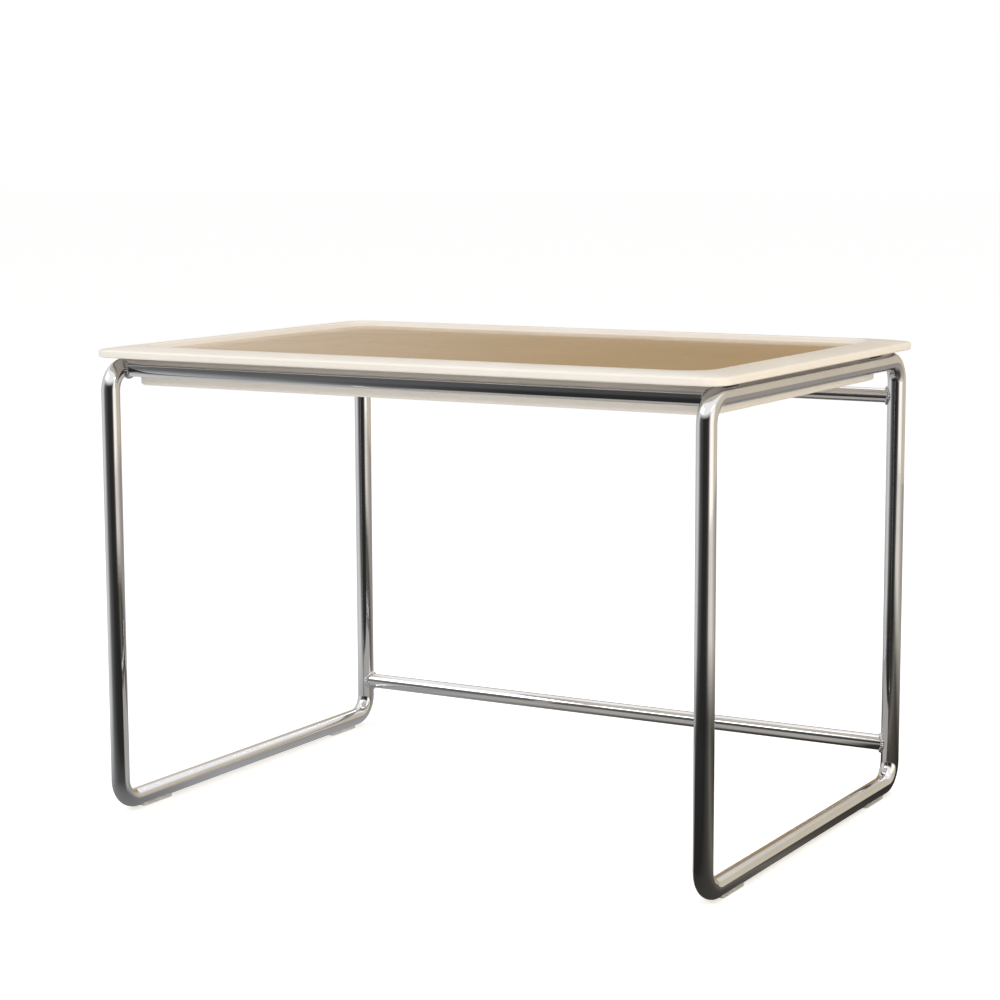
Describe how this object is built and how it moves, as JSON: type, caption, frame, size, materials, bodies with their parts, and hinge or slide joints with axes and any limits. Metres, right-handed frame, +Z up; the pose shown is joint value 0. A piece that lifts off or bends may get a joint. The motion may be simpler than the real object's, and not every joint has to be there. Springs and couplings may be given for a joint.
{
  "type": "microwave stand",
  "caption": "Counter-top microwave stand: bent chrome tube side loops joined by cross rails, under a broad-rimmed lift-off tray with a flat board floor.",
  "frame": {"origin": "centre of the footprint on the counter, at the underside of the runner pads", "axes": "+X across the stand to the right as seen from the front, +Y from the front to the back, +Z up"},
  "size_m": [0.606, 0.424, 0.4077],
  "materials": {
    "chrome_plate": "polished",
    "cream_coat": "satin powder coat",
    "board_wood": "satin lacquer",
    "black_rubber": "matte",
    "clear_pad": "translucent",
    "plain_steel": "plain"
  },
  "bodies": {
    "frame": {"left_side_loop": "chrome_plate", "right_side_loop": "chrome_plate", "front_top_rail": "chrome_plate", "rear_top_rail": "chrome_plate", "rear_bottom_rail": "chrome_plate", "front_rail_welds": "chrome_plate", "rear_top_rail_welds": "chrome_plate", "rear_bottom_rail_welds": "chrome_plate", "loop_joint_sleeves": "plain_steel", "runner_pads": "clear_pad"},
    "tray": {"tray_deck": "cream_coat", "skirt_front": "cream_coat", "skirt_rear": "cream_coat", "skirt_left": "cream_coat", "skirt_right": "cream_coat", "deck_stiffeners": "cream_coat", "deck_board": "board_wood", "rim_pads": "black_rubber"}
  },
  "joints": [
    {"name": "tray_lift", "type": "slide", "parent": "frame", "child": "tray", "axis": [0, 0, 1], "range_m": [0, 0.08]}
  ]
}
